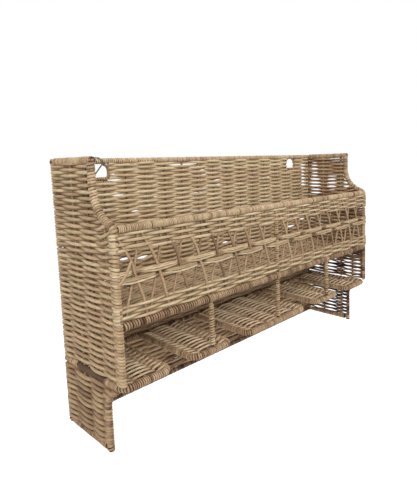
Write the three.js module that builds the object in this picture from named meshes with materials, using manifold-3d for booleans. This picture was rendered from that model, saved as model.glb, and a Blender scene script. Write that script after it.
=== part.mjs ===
// A wicker wall shelf: an open trough with a trellis front, above a slatted shelf.
// The slots between the slats hold stemmed glasses by their feet. Sizes are in millimetres.
// +X is the right hand of someone who faces the wall, -Y points out of the wall, and +Z is up.
// Heights are measured from the foot of the side panels, and depths from the wall.
// The last group moves the shelf so that the origin is on the wall, under the top rail, where it hangs.

import * as THREE from "three";
import { mergeVertices } from "three/addons/utils/BufferGeometryUtils.js";
import Module from "manifold-3d";

const wasm = await Module();
wasm.setup();

// The whole shelf: its width, its depth at the trough, and the four storeys from the foot to the top
const width = 600;
const troughDepth = 150;
const neckSetback = 42;
const legSetback = 38;
const shelfHeight = 93;
const bayRise = 77;
const troughRise = 116;
const neckRise = 84;

// Rods of the frame, each measured over its cane binding
const frameRod = 9;
const rimRod = 10;
const troughRod = 11;
const slatRod = 10;
const postRod = 8;
const ledgeRod = 8;
const sillRod = 6;
const binding = 1.2;
const seatGap = 0.3;

// Woven panels. The back, side and leg sheets are ridged: they have the rods' thickness where the weave passes
// a stake, and only a weaver's thickness midway between two stakes.
const frontWeave = 7;
const floorWeave = 7;
const slatWeave = 6;
const weaver = 3.5;
const backStakePitch = 36.2;
const sideStakeShares = { left: [0.347, 0.593, 0.847], right: [0.313, 0.613, 0.8] };
const stakeRoom = 10;
const ridgeShare = 0.2;
const notchBar = 6;

// Bends of the side panels
const flareLean = THREE.MathUtils.degToRad(75);
const rimCornerRadius = 8;
const rimCornerRun = 2;
const kneeRadius = 24;
const kneeLean = THREE.MathUtils.degToRad(55);
const kneeRun = 9;

// Trellis in the front of the trough
const topBand = 16;
const middleBand = 15;
const bottomBand = 14.5;
const middleBandShare = 0.53;
const crossingsPerSide = 8;
const firstCrossingShare = 0.88;
const lastCrossingShare = 0.67;
const leaningStake = 3.6;
const uprightStake = 2.6;
const leaningShares = [-0.44, 0.38];
const uprightShares = [0.1, -0.21];
const stakeOffset = 1;
const stakeSet = 2;

// Slats of the shelf, and the slots between them
const slotWidth = 31;
const slots = 4;
const centreSlatShare = 1 / 3;
const sideSlatShare = 1 / 6;
const slatCorner = 12;

// Hanging holes, and the wire loop through the left one
const holeWidth = 31;
const holeHeight = 18;
const leftHoleInset = 68;
const rightHoleInset = 74;
const wireDiameter = 1.6;
const wireDrop = 20;
const wireSkew = 17;
const wireShift = 2.5;
const wireFallShares = [
  [0.95, 0.16],
  [0.5, 0.5],
  [-0.3, 0.87],
  [-0.75, 1],
  [-1, 0.86],
  [-1, 0.5],
];

// Nails
const nailShank = 1.8;
const nailHead = 4.4;
const nailHeadThickness = 1;
const nailBite = 9;
const nailPoint = 2;
const overrun = 3;

const rodSides = 12;
const stakeSides = 6;
const wireSides = 8;
const bendSteps = 8;

const caneLight = "#cdb68c";
const caneBound = "#b4926a";
const caneWoven = "#b09473";
const steelGrey = "#8a8780";

// Places worked out from the sizes above
const troughHeight = shelfHeight + bayRise;
const rimHeight = troughHeight + troughRise;
const height = rimHeight + neckRise;
const neckDepth = troughDepth - neckSetback;
const legDepth = troughDepth - legSetback;
const frameRadius = frameRod / 2;
const sideAxis = width / 2 - frameRadius;
const backAxis = frameRadius;
const frontAxis = troughDepth - troughRod / 2;
const cornerAxis = troughDepth - frameRadius;
const webBack = frameRod + seatGap;
const webTop = height - frameRod - seatGap;
const webFoot = frameRod + seatGap;
const innerWidth = width - 2 * (frameRod + seatGap);
const neckAxis = neckDepth - frameRadius;
const legAxis = legDepth - frameRadius;
const ledgeAxis = webBack + ledgeRod / 2;
const slatBack = ledgeAxis + ledgeRod / 2 + seatGap;
const shelfTop = shelfHeight + slatRod / 2 + seatGap;
const shelfUnderside = shelfHeight - slatRod / 2 - seatGap;
const outerSlatAxis = width / 2 - slatRod / 2;
const rimSeam = rimHeight - rimRod / 2 - seatGap;
const hangHeight = webTop;
const holePlaces = { left: leftHoleInset - width / 2, right: width / 2 - rightHoleInset };

const X = new THREE.Vector3(1, 0, 0);
const Y = new THREE.Vector3(0, 1, 0);
const Z = new THREE.Vector3(0, 0, 1);

// Geometry helpers
const cane = (colour) => new THREE.MeshStandardMaterial({ color: colour, roughness: 0.62, metalness: 0 });
const steel = () => new THREE.MeshStandardMaterial({ color: steelGrey, roughness: 0.45, metalness: 0.8 });
const named = (name, geometry, material) => {
  const mesh = new THREE.Mesh(geometry, material);
  mesh.name = name;
  return mesh;
};

function toSolid(geometry) {
  const bare = geometry.clone();
  bare.deleteAttribute("normal");
  bare.deleteAttribute("uv");
  const merged = mergeVertices(bare, seatGap / 1000);
  return new wasm.Manifold(
    new wasm.Mesh({
      numProp: 3,
      vertProperties: merged.attributes.position.array,
      triVerts: new Uint32Array(merged.index.array),
    }),
  );
}

function toGeometry(solid) {
  const mesh = solid.getMesh();
  return new THREE.BufferGeometry()
    .setAttribute("position", new THREE.BufferAttribute(mesh.vertProperties, mesh.numProp))
    .setIndex(new THREE.BufferAttribute(mesh.triVerts, 1));
}

const joined = (geometries) => toGeometry(geometries.map(toSolid).reduce((all, next) => all.add(next)));
const shared = (first, second) => toGeometry(toSolid(first).intersect(toSolid(second)));
const cut = (geometry, cutters) =>
  toGeometry(cutters.map(toSolid).reduce((rest, next) => rest.subtract(next), toSolid(geometry)));

// A path that turns only at its own points, so that a swept rod has one ring at each of them.
class RodPath extends THREE.Curve {
  constructor(points) {
    super();
    this.points = points;
  }
  getPoint(t, target = new THREE.Vector3()) {
    const place = t * (this.points.length - 1);
    const index = Math.min(Math.floor(place), this.points.length - 2);
    return target.lerpVectors(this.points[index], this.points[index + 1], place - index);
  }
  getPointAt(t, target) {
    return this.getPoint(t, target);
  }
  getTangentAt(t, target = new THREE.Vector3()) {
    const last = this.points.length - 1;
    const index = Math.round(t * last);
    const before = this.points[Math.max(index - 1, 0)];
    const here = this.points[index];
    const after = this.points[Math.min(index + 1, last)];
    const arriving = here.clone().sub(before).normalize();
    const leaving = after.clone().sub(here).normalize();
    return target.copy(arriving).add(leaving).normalize();
  }
}

function roundSection(diameter, sides) {
  const corner = (i) => {
    const angle = (i / sides) * 2 * Math.PI;
    return new THREE.Vector2(Math.cos(angle), Math.sin(angle)).multiplyScalar(diameter / 2);
  };
  return new THREE.Shape(Array.from({ length: sides }, (_, i) => corner(i)));
}

function sweep(points, diameter, sides = rodSides) {
  return new THREE.ExtrudeGeometry(roundSection(diameter, sides), {
    steps: points.length - 1,
    extrudePath: new RodPath(points),
    bevelEnabled: false,
  });
}

function arc(centre, radius, from, to, steps) {
  return Array.from({ length: steps + 1 }, (_, i) => {
    const angle = from + ((to - from) * i) / steps;
    return [centre[0] + radius * Math.cos(angle), centre[1] + radius * Math.sin(angle)];
  });
}

// A flat panel from its outline. Its thickness is centred on the plane that holds the outline.
function panel(outline, thickness, across, up) {
  const shape = new THREE.Shape(outline.map(([u, v]) => new THREE.Vector2(u, v)));
  const through = across.clone().cross(up);
  const basis = new THREE.Matrix4().makeBasis(across, up, through);
  return new THREE.ExtrudeGeometry(shape, { depth: thickness, bevelEnabled: false })
    .translate(0, 0, -thickness / 2)
    .applyMatrix4(basis);
}

const rectangle = (u0, v0, u1, v1) => [
  [u0, v0],
  [u1, v0],
  [u1, v1],
  [u0, v1],
];
const outward = Y.clone().negate();

// A ridged sheet from its plan. It stands from "low" to "high", and runs across from "start" to "end".
function ridgedSheet(stakes, start, end, low, high, across) {
  const full = frameRod / 2;
  const valleys = stakes.slice(1).flatMap((next, i) => {
    const ridge = ridgeShare * (next - stakes[i]);
    return [
      [stakes[i] + ridge, full],
      [(stakes[i] + next) / 2, weaver / 2],
      [next - ridge, full],
    ];
  });
  const within = valleys.filter(([place]) => place > start + seatGap && place < end - seatGap);
  const face = [[start, full], ...within, [end, full]];
  const back = face.map(([place, half]) => [place, -half]).reverse();
  const through = across === X ? Y : X;
  return panel([...back, ...face].reverse(), high - low, across, through).translate(0, 0, (low + high) / 2);
}
const inSidePlane = ([depth, rise]) => new THREE.Vector3(0, -depth, rise);

// Nails: a flat head, a shank and a point. The head lies on the bare rod, under its cane binding.
// The hole has the nail's own shape, a seat gap larger.
function nailProfile(extra, over) {
  const head = nailHead / 2 + extra;
  const shank = nailShank / 2 + extra;
  const length = frameRod + nailBite;
  return new THREE.LatheGeometry(
    [
      new THREE.Vector2(0, -length - extra),
      new THREE.Vector2(shank, -length + nailPoint),
      new THREE.Vector2(shank, -nailHeadThickness - extra),
      new THREE.Vector2(head, -nailHeadThickness - extra),
      new THREE.Vector2(head, over),
      new THREE.Vector2(0, over),
    ],
    rodSides,
  );
}

// The top of the head is at the given place, and the nail runs the way that "into" points.
function turnNail(object, place, into) {
  object.applyQuaternion(new THREE.Quaternion().setFromUnitVectors(Y, into.clone().negate()));
  return object.isBufferGeometry ? object.translate(place.x, place.y, place.z) : object;
}

const nailHole = (place, into) => turnNail(nailProfile(seatGap, overrun), place, into);

function nail(name, place, into) {
  const mesh = named(name, nailProfile(0, 0), steel());
  turnNail(mesh, place, into);
  mesh.position.copy(place);
  return mesh;
}

// Side panels: each is built about its own middle plane, in a group that stands at the left or the right end.
// The neck leans out to the rim in a hollow bend and turns down again in a tight one.
const bothRadii = (cornerAxis - neckAxis) / (1 - Math.cos(flareLean));
const flareRadius = bothRadii - rimCornerRadius;
const cornerCentre = [cornerAxis - rimCornerRadius, rimSeam + rimCornerRun];
const flareCentre = [neckAxis + flareRadius, cornerCentre[1] + bothRadii * Math.sin(flareLean)];
const kneeTop = shelfUnderside - frameRadius * Math.sin(kneeLean);
const kneeStart = kneeTop - kneeRun * Math.cos(kneeLean) - kneeRadius * Math.sin(kneeLean);
const kneeCentre = [legAxis + kneeRadius, kneeStart];
const kneeEnd = Math.PI - kneeLean;

function neckRod() {
  const hollow = arc(flareCentre, flareRadius, Math.PI, Math.PI + flareLean, bendSteps);
  const tight = arc(cornerCentre, rimCornerRadius, flareLean, 0, bendSteps).slice(1);
  const route = [[neckAxis, webTop], ...hollow, ...tight, [cornerAxis, rimSeam]];
  return sweep(route.map(inSidePlane), frameRod);
}

function legRod() {
  const bend = arc(kneeCentre, kneeRadius, Math.PI, kneeEnd, bendSteps);
  const [depth, rise] = bend[bend.length - 1];
  const tip = [depth + kneeRun * Math.sin(kneeLean), rise + kneeRun * Math.cos(kneeLean)];
  return sweep([[legAxis, 0], ...bend, tip].map(inSidePlane), frameRod);
}

// Depths of a side panel's stakes, with its back post as the first and its front rod as the last.
const sideStakes = (side, front) => {
  const places = sideStakeShares[side].map((share) => share * troughDepth);
  return [backAxis, ...places.filter((place) => place < front - stakeRoom), front];
};

function sideWeave(side) {
  const inside = frameRadius + seatGap;
  const tight = arc(cornerCentre, rimCornerRadius - inside, 0, flareLean, bendSteps);
  const hollow = arc(flareCentre, flareRadius + inside, Math.PI + flareLean, Math.PI, bendSteps);
  const foot = [[webBack, shelfTop], [cornerAxis - inside, shelfTop]];
  const outline = [...foot, ...tight, ...hollow, [neckAxis - inside, webTop], [webBack, webTop]];
  const low = shelfTop - overrun;
  const high = webTop + overrun;
  const sheet = ridgedSheet(sideStakes(side, cornerAxis), webBack - overrun, troughDepth, low, high, outward);
  return shared(panel(outline, frameRod + overrun, outward, Z), sheet);
}

function legWeave(side) {
  const inside = frameRadius + seatGap;
  const bend = arc(kneeCentre, kneeRadius + inside, Math.PI, kneeEnd, bendSteps);
  const [depth, rise] = bend[bend.length - 1];
  const corner = [depth + (shelfUnderside - rise) * Math.tan(kneeLean), shelfUnderside];
  const foot = [[webBack, webFoot], [legAxis - inside, webFoot]];
  const outline = panel([...foot, ...bend, corner, [webBack, shelfUnderside]], frameRod + overrun, outward, Z);
  const high = shelfUnderside + overrun;
  const sheet = ridgedSheet(sideStakes(side, legAxis), webBack - overrun, troughDepth, -overrun, high, outward);
  return shared(outline, sheet);
}

function sidePanel(side, hand) {
  const group = new THREE.Group();
  group.position.x = hand * sideAxis;
  const inward = X.clone().multiplyScalar(-hand);
  const bareFace = hand * (frameRadius - binding);
  const neckTop = new THREE.Vector3(0, -neckAxis, height - binding);
  const backTop = new THREE.Vector3(0, -backAxis, height - binding);
  const rimEnd = new THREE.Vector3(bareFace, -frontAxis, rimHeight);
  const troughEnd = new THREE.Vector3(bareFace, -frontAxis, troughHeight);
  const legFront = new THREE.Vector3(0, binding - legDepth, frameRadius);
  const down = Z.clone().negate();

  const topRail = [
    new THREE.Vector3(0, -webBack, height - frameRadius),
    new THREE.Vector3(0, -neckDepth, height - frameRadius),
  ];
  const footRail = [
    new THREE.Vector3(0, -webBack, frameRadius),
    new THREE.Vector3(0, -(legAxis - frameRadius - seatGap), frameRadius),
  ];
  const upperPost = [new THREE.Vector3(0, -backAxis, shelfTop), new THREE.Vector3(0, -backAxis, webTop)];
  const lowerPost = [new THREE.Vector3(0, -backAxis, 0), new THREE.Vector3(0, -backAxis, shelfUnderside)];
  const cornerPost = [
    new THREE.Vector3(0, -cornerAxis, shelfTop),
    new THREE.Vector3(0, -cornerAxis, rimSeam - seatGap),
  ];
  const rod = (points) => sweep(points, frameRod);
  const neckHoles = [nailHole(neckTop, down), nailHole(rimEnd, inward)];
  group.add(
    named("side_top_rail_" + side, cut(rod(topRail), [nailHole(neckTop, down)]), cane(caneBound)),
    named("neck_rod_" + side, cut(neckRod(), neckHoles), cane(caneBound)),
    named("front_corner_post_" + side, cut(rod(cornerPost), [nailHole(troughEnd, inward)]), cane(caneWoven)),
    named("back_post_upper_" + side, cut(rod(upperPost), [nailHole(backTop, down)]), cane(caneWoven)),
    named("back_post_lower_" + side, rod(lowerPost), cane(caneWoven)),
    named("leg_rod_" + side, cut(legRod(), [nailHole(legFront, Y)]), cane(caneWoven)),
    named("leg_foot_rail_" + side, cut(rod(footRail), [nailHole(legFront, Y)]), cane(caneBound)),
    named("side_weave_" + side, sideWeave(side), cane(caneWoven)),
    named("leg_weave_" + side, legWeave(side), cane(caneWoven)),
    nail("nail_neck_" + side, neckTop, down),
    nail("nail_rim_" + side, rimEnd, inward),
    nail("nail_trough_" + side, troughEnd, inward),
    nail("nail_leg_" + side, legFront, Y),
    nail("nail_top_" + side, backTop, down),
  );
  return group;
}

// Back panel: a top rail over the full width, a foot rail between the posts, and a woven sheet.
// The sheet has room at its edges for the rods of the end slats. It ends under the hanging holes, and its top
// follows in a left and a right half, each with a notch for its hole.
function backWeaves() {
  const half = innerWidth / 2;
  const bays = Math.floor((2 * sideAxis) / backStakePitch);
  const stakes = Array.from({ length: bays }, (_, i) => i * backStakePitch - sideAxis).concat(sideAxis);
  const passage = (x) =>
    sweep(
      [new THREE.Vector3(x, -frameRod, shelfHeight), new THREE.Vector3(x, frameRod, shelfHeight)],
      slatRod + 2 * seatGap,
    );
  const notchFoot = webTop - holeHeight - sillRod - seatGap;
  const topFoot = notchFoot - notchBar;
  const notch = (place) => {
    const outline = rectangle(place - holeWidth / 2, notchFoot, place + holeWidth / 2, webTop + overrun);
    return panel(outline, frameRod + overrun, X, Z);
  };
  const sheet = ridgedSheet(stakes, -half, half, webFoot, topFoot - seatGap, X);
  const top = (side, start, end) => {
    const piece = ridgedSheet(stakes, start, end, topFoot, webTop, X);
    return named("back_top_weave_" + side, cut(piece, [notch(holePlaces[side])]), cane(caneWoven));
  };
  return [
    named("back_weave", cut(sheet, [passage(-outerSlatAxis), passage(outerSlatAxis)]), cane(caneWoven)),
    top("left", -half, -seatGap / 2),
    top("right", seatGap / 2, half),
  ];
}

function backPanel() {
  const group = new THREE.Group();
  group.position.y = -backAxis;
  const across = (half, rise) => [new THREE.Vector3(-half, 0, rise), new THREE.Vector3(half, 0, rise)];
  const down = Z.clone().negate();
  const corners = [-sideAxis, sideAxis].map((x) => new THREE.Vector3(x, 0, height - binding));
  const topRail = cut(
    sweep(across(width / 2, height - frameRadius), frameRod),
    corners.map((place) => nailHole(place, down)),
  );
  group.add(
    named("back_top_rail", topRail, cane(caneBound)),
    named("back_foot_rail", sweep(across(innerWidth / 2, frameRadius), frameRod), cane(caneBound)),
    ...backWeaves(),
  );
  for (const [side, place] of Object.entries(holePlaces)) {
    const rod = sweep(across(holeWidth / 2 - seatGap, 0), sillRod);
    const sill = named("hole_sill_" + side, rod, cane(caneBound));
    sill.position.set(place, 0, webTop - holeHeight - sillRod / 2);
    group.add(sill);
  }
  return group;
}

// Wire loop: from behind the top rail over it to the front, then aslant back through the left hole.
// It lies in one upright plane, and its two ends meet behind the rail.
function hangerWire() {
  const radius = frameRadius + seatGap + wireDiameter / 2;
  const over = arc([0, 0], radius, Math.PI, 0, bendSteps);
  const fall = wireFallShares.map(([outShare, dropShare]) => [outShare * radius, -dropShare * wireDrop]);
  const route = [...over, ...fall, [-radius, -seatGap]];
  const slope = wireSkew / (2 * radius);
  const points = route.map(([depth, rise]) => new THREE.Vector3(slope * depth, -depth, rise));
  const mesh = named("hanger_wire", sweep(points, wireDiameter, wireSides), steel());
  mesh.position.set(holePlaces.left - wireShift, -backAxis, height - frameRadius);
  return mesh;
}

// Trough: the rim and the front rail, the woven floor on its ledge, and the trellis in two halves.
function straightRod(name, half, diameter, depth, rise, holes) {
  const ends = [new THREE.Vector3(-half, -depth, rise), new THREE.Vector3(half, -depth, rise)];
  const rod = sweep(ends, diameter);
  return named(name, holes ? cut(rod, holes) : rod, cane(caneBound));
}

function stake(crossing, shares, pitch, diameter, offset, foot, head) {
  const set = stakeSet / (head - foot);
  const at = (share, rise) => new THREE.Vector3(crossing + share * pitch, offset, rise);
  const top = at(shares[0], head);
  const bottom = at(shares[1], foot);
  const reach = top.clone().sub(bottom).multiplyScalar(set);
  return sweep([bottom.clone().sub(reach), top.clone().add(reach)], diameter, stakeSides);
}

function trellis(hand) {
  const start = postRod / 2 + seatGap;
  const end = innerWidth / 2;
  const pitch = end / (firstCrossingShare + crossingsPerSide - 1 + lastCrossingShare);
  const lower = troughHeight + troughRod / 2 + seatGap;
  const foot = lower + bottomBand;
  const head = rimSeam - topBand;
  const middle = foot + middleBandShare * (head - foot);
  const band = (low, high) => panel(rectangle(start, low, end, high), frontWeave, X, Z);
  const bands = [
    band(head, rimSeam),
    band(middle - middleBand / 2, middle + middleBand / 2),
    band(lower, foot),
  ];
  if (hand < 0) bands.forEach((piece) => piece.translate(-start - end, 0, 0));
  const stakes = Array.from({ length: crossingsPerSide }, (_, i) => {
    const crossing = hand * (i + firstCrossingShare) * pitch;
    return [
      stake(crossing, leaningShares, pitch, leaningStake, -stakeOffset, foot, head),
      stake(crossing, uprightShares, pitch, uprightStake, stakeOffset, foot, head),
    ];
  }).flat();
  return joined([...bands, ...stakes]);
}

function trough() {
  const group = new THREE.Group();
  const half = innerWidth / 2;
  const bareEnd = width / 2 - binding;
  const endNails = (rise) => [
    nailHole(new THREE.Vector3(-bareEnd, -frontAxis, rise), X),
    nailHole(new THREE.Vector3(bareEnd, -frontAxis, rise), X.clone().negate()),
  ];
  const ledgeHeight = troughHeight - floorWeave / 2 - seatGap - ledgeRod / 2;
  const floorFront = frontAxis - troughRod / 2 - seatGap;
  const floor = panel(rectangle(-half, -floorFront, half, -webBack), floorWeave, X, Y);
  group.add(
    straightRod("trough_rim_rail", half, rimRod, frontAxis, rimHeight, endNails(rimHeight)),
    straightRod("trough_front_rail", half, troughRod, frontAxis, troughHeight, endNails(troughHeight)),
    straightRod("trough_ledge_rail", half, ledgeRod, ledgeAxis, ledgeHeight),
    named("trough_floor_weave", floor.translate(0, 0, troughHeight), cane(caneWoven)),
  );
  for (const [side, hand] of Object.entries({ left: -1, right: 1 })) {
    const front = named("front_trellis_" + side, trellis(hand), cane(caneLight));
    front.position.y = -frontAxis;
    group.add(front);
  }
  const upright = [
    new THREE.Vector3(0, -frontAxis, troughHeight + troughRod / 2 + seatGap),
    new THREE.Vector3(0, -frontAxis, rimSeam),
  ];
  group.add(named("trough_middle_post", sweep(upright, postRod), cane(caneBound)));
  return group;
}

// Shelf: five slats, each a bent rod round a woven sheet.
// The outer legs of the end slats lie in the side panels and run back to the wall.
function slatOutline(left, right, leftBack, rightBack, inset) {
  const bend = slatCorner - frontAxis;
  const radius = slatCorner - inset;
  const leftBend = arc([left + slatCorner, bend], radius, Math.PI, 1.5 * Math.PI, bendSteps);
  const rightBend = arc([right - slatCorner, bend], radius, 1.5 * Math.PI, 2 * Math.PI, bendSteps);
  return [[left + inset, -leftBack], ...leftBend, ...rightBend, [right - inset, -rightBack]];
}

function slatRodBent(left, right, leftBack, rightBack) {
  const route = slatOutline(left, right, leftBack, rightBack, 0);
  return sweep(
    route.map(([x, y]) => new THREE.Vector3(x, y, 0)),
    slatRod,
  );
}

function slatSheet(left, right) {
  return panel(slatOutline(left, right, slatBack, slatBack, slatRod / 2 + seatGap), slatWeave, X, Y);
}

function shelf() {
  const group = new THREE.Group();
  group.position.z = shelfHeight;
  const rodRadius = slatRod / 2;
  const slatSpace = width - slots * slotWidth;
  const centreHalf = (centreSlatShare * slatSpace) / 2 - rodRadius;
  const middleNear = centreHalf + slatRod + slotWidth;
  const middleFar = middleNear + sideSlatShare * slatSpace - slatRod;
  const outerNear = middleFar + slatRod + slotWidth;
  const postPlace = (middleNear + middleFar) / 2;
  const slats = {
    slat_left: [-outerSlatAxis, -outerNear, 0, slatBack],
    slat_middle_left: [-middleFar, -middleNear, slatBack, slatBack, -postPlace],
    slat_centre: [-centreHalf, centreHalf, slatBack, slatBack, 0],
    slat_middle_right: [middleNear, middleFar, slatBack, slatBack, postPlace],
    slat_right: [outerNear, outerSlatAxis, slatBack, 0],
  };
  const postFoot = rodRadius + seatGap;
  const postHead = troughHeight - shelfHeight - troughRod / 2 - seatGap;
  for (const [name, [left, right, leftBack, rightBack, post]] of Object.entries(slats)) {
    const rod = slatRodBent(left, right, leftBack, rightBack);
    group.add(named(name + "_weave", slatSheet(left, right), cane(caneWoven)));
    if (post === undefined) {
      group.add(named(name + "_rod", rod, cane(caneBound)));
      continue;
    }
    const below = new THREE.Vector3(post, -frontAxis, binding - rodRadius);
    group.add(named(name + "_rod", cut(rod, [nailHole(below, Z)]), cane(caneBound)));
    const ends = [postFoot, postHead].map((rise) => new THREE.Vector3(post, -frontAxis, rise));
    const shaft = cut(sweep(ends, postRod), [nailHole(below, Z)]);
    group.add(
      named(name.replace("slat", "shelf_post"), shaft, cane(caneBound)),
      nail(name.replace("slat", "nail_post"), below, Z),
    );
  }
  const ledgeHalf = outerSlatAxis - rodRadius - seatGap;
  group.add(straightRod("shelf_ledge_rail", ledgeHalf, ledgeRod, ledgeAxis, 0));
  return group;
}

const shelfUnit = new THREE.Group();
shelfUnit.position.z = -hangHeight;
shelfUnit.add(backPanel(), sidePanel("left", -1), sidePanel("right", 1), trough(), shelf(), hangerWire());

const root = new THREE.Group();
root.add(shelfUnit);
export default root;
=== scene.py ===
# %% [markdown]
# # A wicker wall shelf
#
# The shelf is woven from cane over a frame of rods that are bound with cane. This lesson builds its
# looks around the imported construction, which holds every rod and panel at its real size and place.
# Each panel is woven cane by cane and each rod is wound turn by turn, because on a wicker object the
# light, the dark gaps and the ragged outline all come from the strands themselves.

# %% Load the construction
from math import cos, pi, radians, sin

import bpy
import numpy as np
from mathutils import Matrix, Vector


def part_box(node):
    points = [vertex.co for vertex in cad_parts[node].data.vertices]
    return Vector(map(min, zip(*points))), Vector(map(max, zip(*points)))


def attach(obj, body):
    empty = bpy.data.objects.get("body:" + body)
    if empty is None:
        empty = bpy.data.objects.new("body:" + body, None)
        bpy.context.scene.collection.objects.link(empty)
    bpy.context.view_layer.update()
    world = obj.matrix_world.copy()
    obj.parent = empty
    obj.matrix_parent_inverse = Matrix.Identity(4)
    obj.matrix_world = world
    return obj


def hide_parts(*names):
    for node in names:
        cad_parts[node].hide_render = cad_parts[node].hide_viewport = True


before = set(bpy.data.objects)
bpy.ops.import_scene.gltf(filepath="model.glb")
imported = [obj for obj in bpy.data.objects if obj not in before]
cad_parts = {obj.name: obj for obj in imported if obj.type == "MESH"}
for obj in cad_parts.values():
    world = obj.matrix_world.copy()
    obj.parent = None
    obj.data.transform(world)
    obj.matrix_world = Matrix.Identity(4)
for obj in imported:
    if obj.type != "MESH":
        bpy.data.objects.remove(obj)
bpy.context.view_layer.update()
mm = 0.001

# %% [markdown]
# ## Camera
#
# The camera stands to the left of the shelf, a little below its top, and looks slightly down. Its
# place, turn and lens were fitted to the corners and rod ends of the picture. The picture's centre
# isn't the middle of the view, so the lens is shifted by the rest.

# %% Camera
picture_width = 417
picture_height = 500
focal_pixels = 435.05
sensor = 36.0
view_centre = (244.0, 209.4)
camera_place = Vector((-0.55155, -0.58698, -0.00069))
camera_forward = Vector((0.72745, 0.67717, -0.11069))
camera_up = Vector((0.10048, 0.05445, 0.99345))

bpy.ops.object.camera_add(location=camera_place)
camera = bpy.context.object
right = camera_forward.cross(camera_up).normalized()
above = right.cross(camera_forward).normalized()
camera_turn = Matrix((right, above, -camera_forward)).transposed().to_4x4()
camera.matrix_world = Matrix.Translation(camera_place) @ camera_turn
camera.data.lens = focal_pixels * sensor / picture_height
camera.data.sensor_width = sensor
camera.data.shift_x = (picture_width / 2 - view_centre[0]) / picture_height
camera.data.shift_y = (view_centre[1] - picture_height / 2) / picture_height
camera.data.clip_start = 10 * mm
bpy.context.scene.camera = camera
print("lens", round(camera.data.lens, 2), "mm")

# %% [markdown]
# ## Places taken from the construction
#
# Every woven panel hangs between rods, so the places of the rods give the places of the weave. They
# are read from the construction once and kept under plain names.


# %% Places
def middle(node):
    low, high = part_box(node)
    return (low + high) / 2


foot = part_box("leg_foot_rail_left")[0].z
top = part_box("back_top_rail")[1].z
web_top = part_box("side_weave_left")[1].z
web_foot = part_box("back_weave")[0].z
side_x = middle("front_corner_post_right").x
back_y = middle("back_weave").y
post_y = middle("front_corner_post_right").y
front_y = middle("trough_rim_rail").y
rim_z = middle("trough_rim_rail").z
trough_z = middle("trough_front_rail").z
shelf_z = middle("shelf_ledge_rail").z
print("rods at x", round(side_x / mm, 1), "and y", round(back_y / mm, 1), round(post_y / mm, 1), "mm")

# %% [markdown]
# ## The cane
#
# A strand of cane is straw to tan, and no two strands have quite the same colour. So each strand
# carries a number called shade, which a colour ramp turns into its own colour, and one called hue,
# which tints that towards red or green. Fine streaks run along the fibre, and broad patches of wear
# lie over all. Pictures of cane could be wrapped round the strands, but they would repeat; noise on
# the place in the object never does.


# %% Helper: pick one object
def pick(piece):
    if bpy.context.object and bpy.context.object.mode != "OBJECT":
        bpy.ops.object.mode_set(mode="OBJECT")
    bpy.ops.object.select_all(action="DESELECT")
    piece.select_set(True)
    bpy.context.view_layer.objects.active = piece


# %% Helpers: add a node to a finish, and connect two
def add_node(tree, kind, sockets=(), **settings):
    node = tree.nodes.new("ShaderNode" + kind)
    for socket, value in sockets:
        node.inputs[socket].default_value = value
    for setting, value in settings.items():
        setattr(node, setting, value)
    return node


def connect(source, output, target, socket):
    source.id_data.links.new(source.outputs[output], target.inputs[socket])


# %% Cane finish
wear_scale = 22
streak_dark = 0.66
streak_light = 1.12
grain_depth = 0.3 * mm
reddish = (1.0, 0.9, 0.89, 1)
greenish = (0.97, 1.0, 0.91, 1)


def to_linear(colour):
    return (*[(level / 255) ** 2.2 for level in colour], 1)


def cane_finish(name, colours, patch, roughness=0.6, grain_scale=(420, 420, 420)):
    material = bpy.data.materials.new(name)
    material.use_nodes = True
    tree = material.node_tree
    shader = tree.nodes["Principled BSDF"]
    shader.inputs["Roughness"].default_value = roughness
    shader.inputs["Specular IOR Level"].default_value = 0.3

    shade = add_node(tree, "Attribute", attribute_name="shade")
    place = add_node(tree, "TexCoord")
    wear = add_node(tree, "TexNoise", [("Scale", wear_scale), ("Detail", 3)])
    connect(place, "Object", wear, "Vector")
    both = add_node(tree, "Math", [(1, patch)], operation="MULTIPLY_ADD")
    connect(wear, "Fac", both, 0)
    connect(shade, "Fac", both, 2)
    centred = add_node(tree, "Math", [(1, patch / 2)], operation="SUBTRACT")
    connect(both, "Value", centred, 0)
    ramp = add_node(tree, "ValToRGB")
    stops = ramp.color_ramp.elements
    while len(stops) < len(colours):
        stops.new(0.5)
    for stop, (share, colour) in zip(stops, colours):
        stop.position = share
        stop.color = to_linear(colour)
    connect(centred, "Value", ramp, "Fac")

    hue = add_node(tree, "Attribute", attribute_name="hue")
    tint = add_node(tree, "ValToRGB")
    tint.color_ramp.elements[0].color = reddish
    tint.color_ramp.elements[1].color = greenish
    tint.color_ramp.elements.new(0.5).color = (1, 1, 1, 1)
    connect(hue, "Fac", tint, "Fac")
    tinted = add_node(tree, "VectorMath", operation="MULTIPLY")
    connect(ramp, "Color", tinted, 0)
    connect(tint, "Color", tinted, 1)

    stretch = add_node(tree, "Mapping", [("Scale", grain_scale)])
    connect(place, "Object", stretch, "Vector")
    grain = add_node(tree, "TexNoise", [("Scale", 1), ("Detail", 4)])
    connect(stretch, "Vector", grain, "Vector")
    streak = add_node(tree, "MapRange", [("From Min", 0.3), ("From Max", 0.7),
                                         ("To Min", streak_dark), ("To Max", streak_light)])
    connect(grain, "Fac", streak, "Value")
    streaked = add_node(tree, "VectorMath", operation="SCALE")
    connect(tinted, "Vector", streaked, 0)
    connect(streak, "Result", streaked, "Scale")
    connect(streaked, "Vector", shader, "Base Color")

    bump = add_node(tree, "Bump", [("Strength", 0.25), ("Distance", grain_depth)])
    connect(grain, "Fac", bump, "Height")
    connect(bump, "Normal", shader, "Normal")
    return material
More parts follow.
